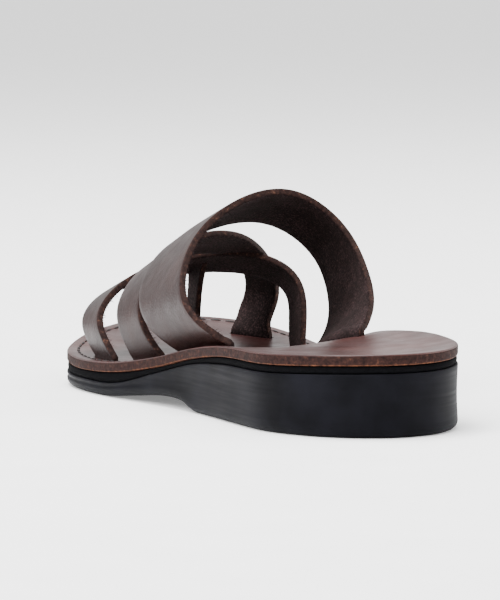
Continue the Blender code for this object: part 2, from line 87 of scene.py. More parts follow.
# The last that the straps are drawn over, and the straps on it.
last = {
    "instepHeight": 0.0790,
    # turn, across, up
    "profile": [
        (0.10, -1.02, 0.15), (0.20, -1.025, 0.315), (0.31, -0.82, 0.540), (0.41, -0.50, 0.775),
        (0.52, 0.17, 1.00), (0.64, 0.72, 0.88), (0.75, 0.98, 0.65), (0.85, 1.00, 0.38),
        (0.93, 0.94, 0.16),
    ],
    # along, lateral, medial, crown
    "sections": [
        (0.30, 0.355, 0.332, 1.105), (0.42, 0.377, 0.347, 1.075), (0.53, 0.400, 0.357, 0.980),
        (0.60, 0.420, 0.356, 0.905), (0.64, 0.430, 0.354, 0.842), (0.68, 0.435, 0.352, 0.778),
        (0.73, 0.437, 0.355, 0.706), (0.78, 0.437, 0.366, 0.640), (0.83, 0.428, 0.362, 0.567),
        (0.87, 0.410, 0.332, 0.513), (0.91, 0.370, 0.300, 0.466), (0.95, 0.310, 0.265, 0.430),
    ],
}
strap = {
    "thickness": 0.0024, "toeThickness": 0.0022, "joinSink": 0.0005,
    "legClearance": 0.0008, "legBend": 0.0010, "slotClearance": 0.0004,
    "rows": 44, "columns": 3, "relax": 10,
    "fineStep": 0.0011,        # spacing of the drawn rows
    "grainRound": 0.00065,     # burnished corner on the grain side
    "fleshRound": 0.00040,     # corner on the suede side
    "fray": 0.00022, "frayMm": 1.3,   # how far and how fast the suede side's cut edge wanders
    "frayHeld": 0.4,           # share of it where the suede's corner meets the cut edge
    # turn, rear, front, lift
    "band": [
        (0.00, 0.325, 0.463, 0.0), (0.20, 0.392, 0.535, 0.3), (0.31, 0.443, 0.584, 0.4),
        (0.41, 0.490, 0.627, 0.4), (0.52, 0.526, 0.648, 0.2), (0.75, 0.515, 0.645, 0.0),
        (0.90, 0.430, 0.595, 0.0), (1.00, 0.345, 0.550, 0.0),
    ],
    "rear": [
        (0.00, 0.511, 0.582, 0.0), (0.10, 0.522, 0.593, 0.0), (0.20, 0.541, 0.614, 0.0),
        (0.31, 0.573, 0.650, 0.0), (0.41, 0.626, 0.702, 0.0), (0.52, 0.692, 0.765, 0.2),
        (0.60, 0.747, 0.823, 0.8), (0.68, 0.805, 0.880, 1.0), (0.76, 0.838, 0.915, 0.8),
        (0.86, 0.850, 0.925, 0.3), (0.93, 0.850, 0.915, 0.0), (1.00, 0.847, 0.897, 0.0),
    ],
    "front": [
        (0.00, 0.641, 0.714, 0.0), (0.20, 0.685, 0.755, 0.0), (0.41, 0.758, 0.826, 0.0),
        (0.52, 0.778, 0.850, 0.0), (0.66, 0.758, 0.828, 0.0), (0.78, 0.733, 0.800, 0.0),
        (0.90, 0.705, 0.772, 0.0), (1.00, 0.688, 0.752, 0.0),
    ],
    # slot insets: lateral rear, lateral front, medial rear, medial front
    "insets": {
        "band": (0.098, 0.098, 0.098, 0.098),
        "rear": (0.082, 0.082, 0.114, 0.194),
        "front": (0.082, 0.082, 0.125, 0.125),
    },
}
toeStrap = {
    "width": 0.0125, "across": 0.0045, "rows": 12, "turn": 0.54, "sink": 0.0011,
    # up, across, along, twist
    "path": [
        (0.00, -0.020, 0.834, 0.00), (0.14, -0.012, 0.839, 0.00), (0.34, -0.003, 0.845, 0.00),
        (0.62, -0.002, 0.838, 0.00), (0.82, -0.004, 0.828, 0.05), (1.00, -0.006, 0.817, 0.15),
    ],
}


def smoothTable(table, index, at):
    # cubic Hermite through one column of a table, flat beyond its ends
    x = np.array([row[0] for row in table], float)
    y = np.array([row[index] for row in table], float)
    slope = np.gradient(y, x)
    at = np.clip(np.asarray(at, float), x[0], x[-1])
    cell = np.clip(np.searchsorted(x, at, side="right") - 1, 0, len(x) - 2)
    width = x[cell + 1] - x[cell]
    t = (at - x[cell]) / width
    return ((2 * t**3 - 3 * t**2 + 1) * y[cell] + (t**3 - 2 * t**2 + t) * width * slope[cell]
            + (3 * t**2 - 2 * t**3) * y[cell + 1] + (t**3 - t**2) * width * slope[cell + 1])


def smoothStep(start, end, at):
    t = np.clip((np.asarray(at, float) - start) / (end - start), 0.0, 1.0)
    return t * t * (3 - 2 * t)


def closedCurve(points, samples):
    # closed centripetal Catmull-Rom curve
    count, curve = len(points), []
    for i in range(count):
        p = [np.asarray(points[(i + k - 1) % count], float) for k in range(4)]
        knot = [0.0]
        for a, b in zip(p, p[1:]):
            knot.append(knot[-1] + math.sqrt(np.linalg.norm(b - a)))
        for t in np.linspace(knot[1], knot[2], samples, endpoint=False):
            a = [((knot[k + 1] - t) * p[k] + (t - knot[k]) * p[k + 1]) / (knot[k + 1] - knot[k])
                 for k in range(3)]
            b = [((knot[k + 2] - t) * a[k] + (t - knot[k]) * a[k + 1]) / (knot[k + 2] - knot[k])
                 for k in range(2)]
            curve.append(((knot[2] - t) * b[0] + (t - knot[1]) * b[1]) / (knot[2] - knot[1]))
    return np.array(curve)


def soleEdges():
    def width(along):
        grown = smoothStep(sole["growthStarts"], sole["growthEnds"], along)
        return sole["heelWidth"] + (sole["ballWidth"] - sole["heelWidth"]) * grown
    lateral = [(-share * width(s), s * sole["length"]) for s, _, share in sole["sections"]]
    medial = [(share * width(s), s * sole["length"]) for s, share, _ in sole["sections"]]
    toe = (sole["toeTipAcross"] * sole["ballWidth"], sole["length"])
    loop = closedCurve([(0.0, 0.0)] + lateral + [toe] + medial[::-1], sole["curveSamples"])
    loop = np.roll(loop, -int(loop[:, 1].argmin()), axis=0)
    tip = int(loop[:, 1].argmax())
    return loop[:tip + 1], np.vstack([loop[tip:], loop[:1]])[::-1]


lateralEdge, medialEdge = soleEdges()
heelBack, toeFront = float(lateralEdge[0, 1]), float(lateralEdge[-1, 1])
middleAcross = (lateralEdge[:, 0].min() + medialEdge[:, 0].max()) / 2
origin = np.array([middleAcross, (heelBack + toeFront) / 2, 0.0])


def edgeAcross(edge, y):
    return np.interp(y, edge[:, 1], edge[:, 0])


def seatHeight(y, across):
    y, across = np.asarray(y, float), np.asarray(across, float)
    along = y / sole["length"]
    seat, spring, dish, cant = (smoothTable(sole["heights"], k, along) for k in (1, 2, 3, 5))
    rim = (sole["forefootSeat"] + (sole["heelSeat"] - sole["forefootSeat"]) * seat
           + sole["toeSpring"] * spring)
    depth = sole["forefootDish"] + (sole["seatDish"] - sole["forefootDish"]) * dish
    blend = sole["endBlend"] * sole["length"]
    ends = np.clip(np.minimum(y - heelBack, toeFront - y) / blend, 0.0, 1.0)
    return rim + (sole["medialRise"] * cant * across - depth * (1 - across**2)) * ends * (2 - ends)


def acrossShare(x, y):
    low, high = edgeAcross(lateralEdge, y), edgeAcross(medialEdge, y)
    return np.clip(2 * (x - low) / np.maximum(high - low, 1e-6) - 1, -1, 1)


def seatAt(x, y):
    return seatHeight(y, acrossShare(x, y))


def midsoleDepth(y):
    along = np.asarray(y) / sole["length"]
    return sole["midsoleThickness"] * smoothTable(sole["heights"], 4, along)


def undersideAt(x, y):
    along = np.asarray(y) / sole["length"]
    shank, spring = (np.maximum(smoothTable(sole["underside"], k, along), 0.0) for k in (1, 2))
    return sole["shankRise"] * shank + sole["toeSpring"] * spring


def insoleBottomAt(x, y):
    return seatAt(x, y) - sole["insoleThickness"]


def midsoleTopAt(x, y):
    return insoleBottomAt(x, y) - sole["layerGap"]


def midsoleBottomAt(x, y):
    return midsoleTopAt(x, y) - midsoleDepth(y)


def outsoleTopAt(x, y):
    return midsoleBottomAt(x, y) - sole["layerGap"]


# Materials, in linear colour. Their specular levels are lower than the real ones, to match the
# photo under the renderer's tone curve.
def linear(hexColour):
    channels = [int(hexColour[i:i + 2], 16) / 255 for i in (1, 3, 5)]
    return [c / 12.92 if c <= 0.04045 else ((c + 0.055) / 1.055)**2.4 for c in channels] + [1.0]


def addNode(tree, kind, settings=None, links=None):
    # one node with its properties, socket values and incoming links
    node = tree.nodes.new(kind)
    for key, value in (settings or {}).items():
        if isinstance(key, int) or key in node.inputs:
            node.inputs[key].default_value = value
        else:
            setattr(node, key, value)
    for key, source in (links or {}).items():
        tree.links.new(source, node.inputs[key])
    return node


def newMaterial(name, shaderSettings):
    made = bpy.data.materials.new(name)
    made.use_nodes = True
    tree = made.node_tree
    tree.nodes.clear()
    output = addNode(tree, "ShaderNodeOutputMaterial")
    shader = addNode(tree, "ShaderNodeBsdfPrincipled", shaderSettings)
    tree.links.new(shader.outputs["BSDF"], output.inputs["Surface"])
    place = addNode(tree, "ShaderNodeTexCoord").outputs["Object"]
    return made, tree, shader, place


def ramp(tree, source, stops):
    node = addNode(tree, "ShaderNodeValToRGB", links={"Fac": source})
    elements = node.color_ramp.elements
    while len(elements) < len(stops):
        elements.new(0.5)
    for element, (position, colour) in zip(elements, stops):
        element.position = position
        element.color = linear(colour) if isinstance(colour, str) else (colour, colour, colour, 1.0)
    return node.outputs["Color"]


def mottle(tree, place, sizeMm, detail, roughness=0.5):
    # soft noise, its features about as wide as the size
    noiseNode = addNode(tree, "ShaderNodeTexNoise", {
        "Scale": 1000 / sizeMm, "Detail": detail, "Roughness": roughness}, {"Vector": place})
    return noiseNode.outputs["Fac"]


def paint(tree, shader, source, stops):
    tree.links.new(ramp(tree, source, stops), shader.inputs["Base Color"])


def roughen(tree, shader, source, limits):
    # the middle part of the noise, spread over the limits
    spread = addNode(tree, "ShaderNodeMapRange", {
        "From Min": 0.3, "From Max": 0.7, "To Min": limits[0], "To Max": limits[1]},
        {"Value": source})
    tree.links.new(spread.outputs["Result"], shader.inputs["Roughness"])


def emboss(tree, shader, *layers):
    # bumps one over the other, each a height, a strength and a depth
    below = {}
    for height, strength, depth in layers:
        bump = addNode(tree, "ShaderNodeBump", {"Strength": strength, "Distance": depth},
                       {"Height": height, **below})
        below = {"Normal": bump.outputs["Normal"]}
    tree.links.new(below["Normal"], shader.inputs["Normal"])


# In the dictionaries below a noise is its size in mm, detail and roughness, a relief its strength
# and depth, and a coat its weight and roughness.

# Vegetable-tanned cowhide, dyed dark brown and waxed: an even, fine-pored face with a soft sheen.
grain = {
    "specular": 0.13, "coat": (0.02, 0.30), "roughness": (0.38, 0.48),
    "colours": [(0.30, "#190d0c"), (0.52, "#211312"), (0.72, "#2a1916")],
    "cloud": (22.0, 5.0, 0.6), "poreMm": 0.7, "poreRelief": (1.0, 0.00007),
    "marks": (6.0, 8.0, 0.55), "markRelief": (0.6, 0.00012),     # creases
}
# Insole board: thicker cowhide with a glazed, redder face that mirrors the room softly.
board = {
    "specular": 0.20, "coat": (0.03, 0.25), "roughness": (0.30, 0.42),
    "colours": [(0.30, "#230f0e"), (0.52, "#301614"), (0.74, "#3f211d")],
    "cloud": (34.0, 3.0, 0.55), "poreMm": 0.8, "poreRelief": (0.8, 0.00005),
    "marks": (9.0, 4.0, 0.5), "markRelief": (0.5, 0.00025),      # scuffs
}


def facedLeather(name, hide):
    made, tree, shader, place = newMaterial(name, {
        "Specular IOR Level": hide["specular"], "Coat Weight": hide["coat"][0],
        "Coat Roughness": hide["coat"][1]})
    pores = addNode(tree, "ShaderNodeTexVoronoi", {
        "Scale": 1000 / hide["poreMm"], "Randomness": 1.0}, {"Vector": place}).outputs["Distance"]
    marks = mottle(tree, place, *hide["marks"])
    paint(tree, shader, mottle(tree, place, *hide["cloud"]), hide["colours"])
    roughen(tree, shader, marks, hide["roughness"])
    emboss(tree, shader, (pores, *hide["poreRelief"]), (marks, *hide["markRelief"]))
    return made


# Flesh side of the same hide, buffed: matt, with short pale fibre tips in a dark nap.
flesh = {
    "colours": [(0.50, "#0e0808"), (0.66, "#180f0f"), (0.84, "#38292a")], "sheen": "#6a5048",
    "nap": (0.8, 3.0, 0.7), "patch": (12.0, 3.0), "patchShare": 0.30, "relief": (0.8, 0.00035),
}


def suedeLeather():
    made, tree, shader, place = newMaterial("buffedFleshSide", {
        "Roughness": 0.95, "Specular IOR Level": 0.10,
        "Sheen Weight": 0.06, "Sheen Roughness": 0.5, "Sheen Tint": linear(flesh["sheen"])})
    nap, patch = mottle(tree, place, *flesh["nap"]), mottle(tree, place, *flesh["patch"])
    mixed = addNode(tree, "ShaderNodeMath", {"operation": "MULTIPLY_ADD", 1: flesh["patchShare"]},
                    {0: patch, 2: nap})
    paint(tree, shader, mixed.outputs["Value"], flesh["colours"])
    emboss(tree, shader, (nap, *flesh["relief"]))
    return made


# Cut edge of the hide, dyed by hand: lighter tan fibres show through the brown in flecks.
# The board's lowest line took no dye and stays pale.
cutEdge = {
    "strapColours": ("#170e0d", "#2b1c19", "#664738"),
    "boardColours": ("#190f0e", "#2c1b18", "#5a3a2b"),
    "lineColours": ("#2a1a15", "#573526", "#8a5739"),
    "fibres": (0.9, 4.0, 0.65), "flecks": (1.5, 6.0, 0.7), "relief": (0.7, 0.00025),
}


def cutLeather(name, dark, brown, tan):
    made, tree, shader, place = newMaterial(name, {"Roughness": 0.72, "Specular IOR Level": 0.06})
    flecks = mottle(tree, place, *cutEdge["flecks"])
    paint(tree, shader, flecks, [(0.38, dark), (0.58, brown), (0.80, tan)])
    emboss(tree, shader, (mottle(tree, place, *cutEdge["fibres"]), *cutEdge["relief"]))
    return made


# Moulded black rubber, its side buffed round by round: satin, with faint streaks along the sole.
rubber = {
    "colours": [(0.35, "#08080b"), (0.75, "#111116")], "dust": (14.0, 8.0),
    "streakMm": (40.0, 40.0, 1.2), "roughness": (0.48, 0.60), "relief": (0.6, 0.00004),
}


def mouldedRubber():
    made, tree, shader, place = newMaterial("buffedBlackRubber", {"Specular IOR Level": 0.035})
    stretched = addNode(tree, "ShaderNodeMapping", {
        "Scale": [1000 / mm for mm in rubber["streakMm"]]}, {"Vector": place})
    streaks = mottle(tree, stretched.outputs["Vector"], 1000, 6.0, 0.6)
    paint(tree, shader, mottle(tree, place, *rubber["dust"]), rubber["colours"])
    roughen(tree, shader, streaks, rubber["roughness"])
    emboss(tree, shader, (streaks, *rubber["relief"]))
    return made


# Microcellular foam sheet, black: dull, with a fine cell texture on its sanded side.
foam = {
    "colours": [(0.35, "#050506"), (0.70, "#0b0b0d")],
    "cells": (0.6, 3.0), "relief": (0.6, 0.00012),
}


def foamSheet():
    made, tree, shader, place = newMaterial("sandedBlackFoam", {
        "Roughness": 0.85, "Specular IOR Level": 0.02})
    cells = mottle(tree, place, *foam["cells"])
    paint(tree, shader, cells, foam["colours"])
    emboss(tree, shader, (cells, *foam["relief"]))
    return made


# Waxed polyester thread, near black: a tight twist with a small highlight on each stitch.
thread = {
    "colours": [(0.2, "#0e0a0a"), (0.9, "#241a18")], "twistMm": 0.7, "relief": (0.6, 0.00012),
}


def waxedThread():
    made, tree, shader, place = newMaterial("waxedThread", {
        "Roughness": 0.5, "Specular IOR Level": 0.2})
    twist = addNode(tree, "ShaderNodeTexWave", {
        "Scale": 1000 / thread["twistMm"] / math.tau, "Distortion": 1.5,
        "bands_direction": "DIAGONAL"}, {"Vector": place}).outputs["Fac"]
    paint(tree, shader, twist, thread["colours"])
    emboss(tree, shader, (twist, *thread["relief"]))
    return made


grainFinish = facedLeather("waxedVegTanLeather", grain)
suedeFinish = suedeLeather()
strapEdgeFinish = cutLeather("dyedCutEdge", *cutEdge["strapColours"])
boardFinish = facedLeather("glazedInsoleLeather", board)
boardEdgeFinish = cutLeather("dyedBoardEdge", *cutEdge["boardColours"])
boardLineFinish = cutLeather("undyedBoardLine", *cutEdge["lineColours"])
rubberFinish = mouldedRubber()
foamFinish = foamSheet()
threadFinish = waxedThread()
print("materials made")


def linked(name, data):
    made = bpy.data.objects.new(name, data)
    bpy.context.scene.collection.objects.link(made)
    return made


def meshObject(name, vertices, faces, finishes, faceFinish=None):
    mesh = bpy.data.meshes.new(name)
    mesh.from_pydata([tuple(p) for p in np.asarray(vertices) - origin], [], faces)
    for finish in finishes:
        mesh.materials.append(finish)
    if faceFinish is not None:
        mesh.polygons.foreach_set("material_index", faceFinish)
    work = bmesh.new()
    work.from_mesh(mesh)
    bmesh.ops.remove_doubles(work, verts=work.verts, dist=1e-6)   # a micrometre
    bmesh.ops.recalc_face_normals(work, faces=work.faces)
    work.to_mesh(mesh)
    work.free()
    made = linked(name, mesh)
    mesh.shade_smooth()
    return made


def baked(made):
    # the evaluated mesh, without the modifiers
    graph = bpy.context.evaluated_depsgraph_get()
    mesh = bpy.data.meshes.new_from_object(made.evaluated_get(graph), depsgraph=graph)
    made.modifiers.clear()
    made.data = mesh
    return made


def wander(point, sizeMm, seed):
    # smooth signed noise of about -1 to 1
    p = Vector(point) * (1000 / sizeMm) + Vector((seed * 7.3, seed * 3.1, seed * 5.7))
    return noise.noise(p)


def outlineLoop():
    turn = np.linspace(0.0, math.pi, sole["rows"] + 1)
    y = heelBack + (toeFront - heelBack) * (1 - np.cos(turn)) / 2
    lateral = np.column_stack([edgeAcross(lateralEdge, y), y])
    medial = np.column_stack([edgeAcross(medialEdge, y), y])
    return np.vstack([lateral, medial[-2:0:-1]])


outline = outlineLoop()


def insetLoop(amount):
    ahead = np.roll(outline, -1, axis=0) - outline
    behind = outline - np.roll(outline, 1, axis=0)
    ahead /= np.linalg.norm(ahead, axis=1)[:, None]
    behind /= np.linalg.norm(behind, axis=1)[:, None]
    tangent = ahead + behind
    tangent /= np.linalg.norm(tangent, axis=1)[:, None]
    return outline + amount * np.column_stack([tangent[:, 1], -tangent[:, 0]])


outwardWays = outline - insetLoop(1.0)   # level unit directions out of the outline


def soleSolid(name, rings, columns, finishes, ringFinish, topAt, bottomAt):
    # rings: loops of points from the middle of the top, over the wall, to the middle of the bottom
    count = len(outline)
    vertices = np.vstack(rings).tolist()
    faces, index = [], []
    for level in range(len(rings) - 1):
        for i in range(count):
            a, b = level * count + i, level * count + (i + 1) % count
            faces.append((a, b, b + count, a + count))
            index.append(ringFinish[level])
    rows = sole["rows"]
    caps = ((0, topAt, ringFinish[0]), (len(rings) - 1, bottomAt, ringFinish[-1]))
    for level, heightAt, finish in caps:
        base, grid = level * count, []
        for row in range(rows + 1):
            left, right = base + row, base + (count - row) % count
            if row in (0, rows):
                grid.append([left] * (columns + 1))
                continue
            share = np.linspace(0.0, 1.0, columns + 1)[1:-1]
            x = vertices[left][0] * (1 - share) + vertices[right][0] * share
            y = vertices[left][1] * (1 - share) + vertices[right][1] * share
            grid.append([left] + list(range(len(vertices), len(vertices) + columns - 1)) + [right])
            vertices += np.column_stack([x, y, heightAt(x, y)]).tolist()
        for row in range(rows):
            for k in range(columns):
                corners = (grid[row][k], grid[row][k + 1], grid[row + 1][k + 1], grid[row + 1][k])
                face = tuple(dict.fromkeys(corners))
                if len(face) > 2:
                    faces.append(face if level == 0 else face[::-1])
                    index.append(finish)
    return meshObject(name, vertices, faces, finishes, index)


def ring(inset, heightAt, lower=0.0):
    # one loop at a distance inside the outline, at a height taken from the surface there
    loop = insetLoop(inset)
    return np.column_stack([loop, heightAt(loop[:, 0], loop[:, 1]) - lower])


insole = {
    "topRound": 0.0009, "stitchInset": 0.0042, "grooveDepth": 0.00035, "grooveWidth": 0.0011,
    "wallRings": 7, "bottomRound": 0.0003, "columns": 22,
    "innerInsets": (0.0115, 0.0085, 0.0062), "rimInset": 0.0020,   # loops beside the channel
    "grooveSteps": (1.0, 0.55, 0.3, 0.0, -0.3, -0.55, -1.0),       # its own, in shares of its width
    "stitchFrom": 0.150, "grooveRun": 0.004,   # start of the stitched row; half the run-in
    # uneven cut edge: depth, sizes of its fine and broad noise, share of the broad one, how far in
    "edgeRoughness": 0.00010, "roughMm": (1.6, 5.0), "broadShare": 0.6, "roughSink": 0.8,
    "middle": (0.0, 0.135),
}


def grooveAt(inset, y):
    # depth of the stitch channel
    near = max(0.0, 1 - abs(inset - insole["stitchInset"]) / (insole["grooveWidth"] / 2))
    first, run = insole["stitchFrom"], insole["grooveRun"]
    start = float(smoothStep(first - run, first + run, y))
    return insole["grooveDepth"] * near * start


def insoleBody():
    rings, r = [], insole["topRound"]
    channel = [insole["stitchInset"] + insole["grooveWidth"] * k for k in insole["grooveSteps"]]
    for inset in (*insole["innerInsets"], *channel, insole["rimInset"]):
        loop = ring(inset, seatAt)
        loop[:, 2] -= [grooveAt(inset, y) for y in loop[:, 1]]
        rings.append(loop)
    for step in range(5):
        turn = step / 4 * math.pi / 2
        rings.append(ring(r * (1 - math.sin(turn)), seatAt, r * (1 - math.cos(turn))))
    topRings = len(rings)
    depth = sole["insoleThickness"] - r - insole["bottomRound"]
    fineMm, broadMm = insole["roughMm"]
    for step in range(1, insole["wallRings"] + 1):
        loop = ring(0.0, seatAt, r + depth * step / insole["wallRings"])
        for point in loop:
            fine, broad = wander(point, fineMm, 3), insole["broadShare"] * wander(point, broadMm, 4)
            rough = insole["edgeRoughness"] * (fine + broad - insole["roughSink"])
            side = point[:2] - insole["middle"]
            side /= np.linalg.norm(side)
            point[:2] += side * rough
        rings.append(loop)
    rings.append(ring(insole["bottomRound"], seatAt, sole["insoleThickness"]))
    finish = [0] * (topRings - 2) + [1] * (len(rings) - topRings) + [2, 2]   # face, edge, pale line
    finishes = [boardFinish, boardEdgeFinish, boardLineFinish]
    return soleSolid("insoleBoard", rings, insole["columns"], finishes, finish,
                     seatAt, insoleBottomAt)


def cutterBlock(name, line, flat, halfWidth):
    # the end of a strap, grown by the slot's clearance on every side
    ahead = line[-1] - line[0]
    ahead[2] = 0.0
    ahead *= strap["slotClearance"] / np.linalg.norm(ahead)
    line = line.copy()
    line[0] -= ahead
    line[-1] += ahead
    rise = np.array([0.0, 0.0, 2 * sole["insoleThickness"]])
    loop = np.vstack([line - flat * halfWidth, (line + flat * halfWidth)[::-1]])
    count = len(loop)
    faces = [(i, (i + 1) % count, (i + 1) % count + count, i + count) for i in range(count)]
    quads = [(i, i + 1, count - 2 - i, count - 1 - i) for i in range(len(line) - 1)]
    faces += quads + [tuple(k + count for k in quad) for quad in quads]
    return meshObject(name, np.vstack([loop - rise, loop + rise]), faces, [boardEdgeFinish])


def cutSlots(body, cutters):
    for cutter in cutters:
        modifier = body.modifiers.new(cutter.name, "BOOLEAN")
        modifier.operation, modifier.solver, modifier.object = "DIFFERENCE", "EXACT", cutter
        modifier.material_mode = "TRANSFER"
    baked(body)
    for cutter in cutters:
        bpy.data.objects.remove(cutter, do_unlink=True)
    body.data.shade_smooth()
    body.data.set_sharp_from_angle(angle=math.radians(50))


midsole = {"inset": 0.0006, "rimInset": 0.004, "bulge": 0.00025, "wallRings": 4, "columns": 12}


def midsoleBody():
    rings = [ring(midsole["rimInset"], midsoleTopAt), ring(midsole["inset"], midsoleTopAt)]
    for step in range(1, midsole["wallRings"]):
        share = step / midsole["wallRings"]
        loop = ring(midsole["inset"], midsoleTopAt)
        low = ring(midsole["inset"], midsoleBottomAt)
        loop[:, 2] += (low[:, 2] - loop[:, 2]) * share
        loop[:, :2] += outwardWays * midsole["bulge"] * math.sin(math.pi * share)
        rings.append(loop)
    rings += [ring(midsole["inset"], midsoleBottomAt), ring(midsole["rimInset"], midsoleBottomAt)]
    return soleSolid("midsoleSheet", rings, midsole["columns"], [foamFinish],
                     [0] * (len(rings) - 1), midsoleTopAt, midsoleBottomAt)


outsole = {
    "topRound": 0.0006, "edgeRound": 0.0028, "edgeRings": 6, "wallRings": 8, "columns": 22,
    "innerInsets": (0.006, 0.002),
    "land": 0.0065,            # flat rim of the underside
    "treadDepth": 0.0007, "treadSlope": 0.0003, "treadInset": 0.0030, "belly": 0.00035,
    "studLength": 0.0046, "studWidth": 0.0024, "studPitch": (0.0068, 0.0046), "studSeed": 4,
    "studGap": 0.0008, "studLift": 0.00002,   # between rim and studs; of the studs over the ground
}


def treadFloorAt(x, y):
    return undersideAt(x, y) + outsole["treadDepth"]


def outsoleBody():
    r, e = outsole["topRound"], outsole["edgeRound"]
    rings = [ring(inset, outsoleTopAt) for inset in (*outsole["innerInsets"], r)]
    rings += [ring(r * (1 - math.sin(a)), outsoleTopAt, r * (1 - math.cos(a)))
              for a in (math.radians(30), math.radians(60), math.radians(90))]
    high = ring(0.0, outsoleTopAt, r)
    low = ring(0.0, undersideAt)
    low[:, 2] += e
    for step in range(1, outsole["wallRings"] + 1):
        share = step / outsole["wallRings"]
        loop = high + (low - high) * share
        loop[:, :2] -= outwardWays * outsole["belly"] * math.sin(math.pi * share)
        rings.append(loop)
    for step in range(1, outsole["edgeRings"] + 1):
        turn = step / outsole["edgeRings"] * math.pi / 2
        loop = ring(e * (1 - math.cos(turn)), undersideAt)
        loop[:, 2] += e * (1 - math.sin(turn))
        rings.append(loop)
    rings.append(ring(outsole["land"], undersideAt))
    for key in ("treadSlope", "treadInset"):
        rings.append(ring(outsole["land"] + outsole[key], treadFloorAt))
    return soleSolid("outsoleUnit", rings, outsole["columns"], [rubberFinish],
                     [0] * (len(rings) - 1), outsoleTopAt, treadFloorAt)


def slotAcross(side, y, inset):
    edge = lateralEdge if side < 0 else medialEdge
    return float(edgeAcross(edge, y)) - side * inset * sole["ballWidth"]


def lastPoint(turn, y, lateralInset, medialInset):
    along = y / sole["length"]
    lateral, medial, crown = (float(smoothTable(last["sections"], k, along)) for k in (1, 2, 3))
    start, end = slotAcross(-1, y, lateralInset), slotAcross(1, y, medialInset)
    startUp = float(seatAt(start, y)) + strap["legBend"]
    endUp = float(seatAt(end, y)) + strap["legBend"]
    points = [(0.0, start, startUp)]
    for place, share, height in last["profile"]:
        base = startUp + (endUp - startUp) * place
        half = (lateral if share < 0 else medial) * sole["ballWidth"]
        top = crown * last["instepHeight"] - strap["thickness"]
        points.append((place, share * half, base + height * (top - base)))
    points.append((1.0, end, endUp))
    return float(smoothTable(points, 1, turn)), float(smoothTable(points, 2, turn))


def sheetNormals(rows):
    normal = np.cross(np.gradient(rows, axis=0), np.gradient(rows, axis=1))
    return normal / np.linalg.norm(normal, axis=2)[:, :, None]


def legBottom(x, y):
    return float(midsoleTopAt(x, y)) + strap["legClearance"]


def levelled(normals):
    flat = normals.copy()
    flat[:, 2] = 0.0
    return flat / np.linalg.norm(flat, axis=1)[:, None]


def strapSheet(name):
    table, insets = strap[name], strap["insets"][name]
    turns = np.linspace(0.0, 1.0, strap["rows"] + 1)
    rear, front, lift = (smoothTable(table, k, turns) for k in (1, 2, 3))
    rows = []
    for i, turn in enumerate(turns):
        row = []
        for share in np.linspace(0.0, 1.0, strap["columns"] + 1):
            y = sole["length"] * (rear[i] + (front[i] - rear[i]) * share)
            x, z = lastPoint(turn, y, insets[0] + (insets[1] - insets[0]) * share,
                             insets[2] + (insets[3] - insets[2]) * share)
            row.append((x, y, z))
        rows.append(row)
    rows = np.array(rows)
    for _ in range(strap["relax"]):
        rows[1:-1] = (rows[:-2] + 2 * rows[1:-1] + rows[2:]) / 4
    normals = sheetNormals(rows)
    step = strap["thickness"] - strap["joinSink"]
    raised = rows + normals * (lift * step)[:, None, None]
    legs = {}
    for end in (0, -1):
        flat = levelled(normals[end])
        raised[end] = rows[end] + flat * lift[end] * step
        foot = np.array([(x, y, legBottom(x, y)) for x, y, _ in raised[end]])
        upright = raised[end].copy()
        upright[:, 2] -= strap["legBend"]
        legs[end] = [foot, (foot + upright) / 2, upright]
    return np.array(legs[0] + list(raised) + legs[-1][::-1])


def toeStrapSheet():
    path = toeStrap["path"]
    baseY, topY = path[0][2] * sole["length"], path[-1][2] * sole["length"]
    base = float(seatAt(toeStrap["across"], baseY))
    shares = np.linspace(-0.5, 0.5, strap["columns"] + 1)
    ahead = toeStrap["width"] * math.cos(path[-1][3] * math.pi / 2)
    tops = [lastPoint(toeStrap["turn"], topY + ahead * s, 0.0, 0.0)[1] - toeStrap["sink"]
            for s in shares]
    rows = []
    for up in np.linspace(0.0, 1.0, toeStrap["rows"] + 1):
        across, along, twist = (float(smoothTable(path, k, up)) for k in (1, 2, 3))
        angle = twist * math.pi / 2
        direction = np.array([-math.sin(angle), math.cos(angle), 0.0])
        x, y = toeStrap["across"] + across * sole["ballWidth"], along * sole["length"]
        rows.append([np.array([x, y, base + (top - base) * up]) + direction * toeStrap["width"] * s
                     for s, top in zip(shares, tops)])
    rows = np.array(rows)
    foot = rows[0].copy()
    foot[:, 2] = [legBottom(x, y) for x, y, _ in foot]
    return np.concatenate([foot[None], (foot[None] + rows[:1]) / 2, rows])


def refined(rows, columns):
    # the sheet on a finer grid: even steps along it, and columns across it
    middle = rows.mean(axis=1)
    run = np.concatenate([[0.0], np.cumsum(np.linalg.norm(np.diff(middle, axis=0), axis=1))])
    steps = np.linspace(0.0, run[-1], max(8, int(run[-1] / strap["fineStep"])) + 1)
    fine = np.zeros((len(steps), rows.shape[1], 3))
    for k in range(rows.shape[1]):
        for axis in range(3):
            fine[:, k, axis] = smoothTable(list(zip(run, rows[:, k, axis])), 1, steps)
    shares = np.linspace(0.0, 1.0, rows.shape[1])
    wide = np.zeros((len(steps), columns + 1, 3))
    for i in range(len(steps)):
        for axis in range(3):
            wide[i, :, axis] = smoothTable(list(zip(shares, fine[i, :, axis])), 1,
                                           np.linspace(0.0, 1.0, columns + 1))
    return wide


def corner(point, out, face, half, radius, turns, loose=0.0):
    # rounded corner of a strap's section, frayed outwards by the loose amount
    centre = point - out * radius + face * (half - radius)
    points = []
    for turn in turns:
        c, s = math.cos(math.radians(turn)), math.sin(math.radians(turn))
        held = 1 if turn < 90 else strap["frayHeld"]
        points.append(centre + (face * c + out * s) * radius + out * (loose * held))
    return points


